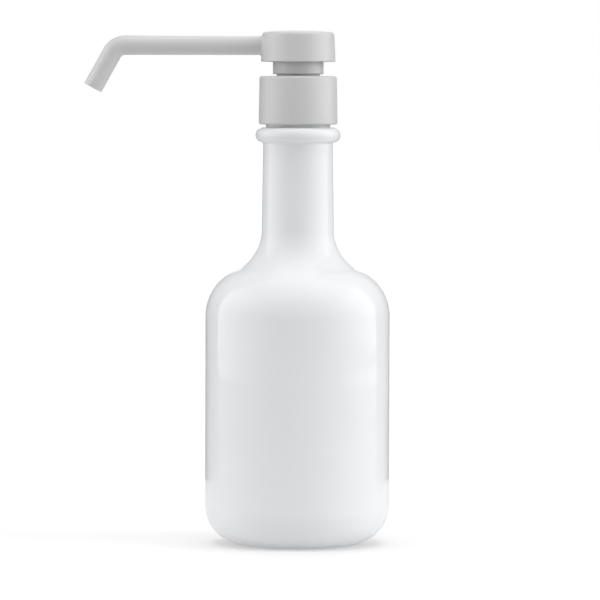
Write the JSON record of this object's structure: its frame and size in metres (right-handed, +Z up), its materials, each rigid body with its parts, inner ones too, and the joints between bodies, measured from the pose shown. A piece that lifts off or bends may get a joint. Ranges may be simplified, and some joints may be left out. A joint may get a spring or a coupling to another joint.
{
  "type": "pump bottle",
  "caption": "Round bottle with a long beaded neck, a smooth screw closure and a lock-down lotion pump whose long bent spout turns and rises.",
  "frame": {"origin": "centre of the bottle's base, in the plane of the ring that it stands on", "axes": "+Z up along the bottle's axis; the spout points to -X at rest; +Y away from the viewer of the picture"},
  "size_m": [0.128, 0.0772, 0.2148],
  "materials": {
    "bottle_plastic": "gloss",
    "pump_plastic": "satin",
    "natural_plastic": "satin",
    "seal_plastic": "satin",
    "gasket_foam": "matte",
    "stainless": "satin"
  },
  "bodies": {
    "bottle": {"bottle": "bottle_plastic"},
    "pump_core": {"housing": "natural_plastic", "chaplet": "pump_plastic", "gasket": "gasket_foam", "dip_tube": "natural_plastic", "spring": "stainless"},
    "collar": {"closure": "pump_plastic"},
    "plunger": {"stem": "natural_plastic", "piston_seat": "natural_plastic"},
    "seal": {"piston_seal": "seal_plastic"},
    "push_head": {"head": "pump_plastic", "spout": "pump_plastic"},
    "valve_ball": {"inlet_ball": "stainless"}
  },
  "joints": [
    {"name": "pump_lift", "type": "slide", "parent": "bottle", "child": "pump_core", "axis": [0, 0, 1], "range_m": [0, 0.00634]},
    {"name": "collar_turn", "type": "hinge", "parent": "pump_core", "child": "collar", "pos_m": [0, 0, 0.1856], "axis": [0, 0, 1], "range_deg": [0, 540]},
    {"name": "stroke", "type": "slide", "parent": "pump_core", "child": "plunger", "axis": [0, 0, 1], "range_m": [0, 0.012], "deforming": ["spring"]},
    {"name": "head_turn", "type": "hinge", "parent": "plunger", "child": "push_head", "pos_m": [0, 0, 0.2086], "axis": [0, 0, 1], "continuous": true},
    {"name": "seal_slip", "type": "slide", "parent": "plunger", "child": "seal", "axis": [0, 0, 1], "range_m": [0, 0.001]},
    {"name": "ball_lift", "type": "slide", "parent": "pump_core", "child": "valve_ball", "axis": [0, 0, 1], "range_m": [0, 0.0015]}
  ],
  "couplings": [
    {"joint": "pump_lift", "follows": "collar_turn", "m_per_rad": 0.00067323}
  ]
}
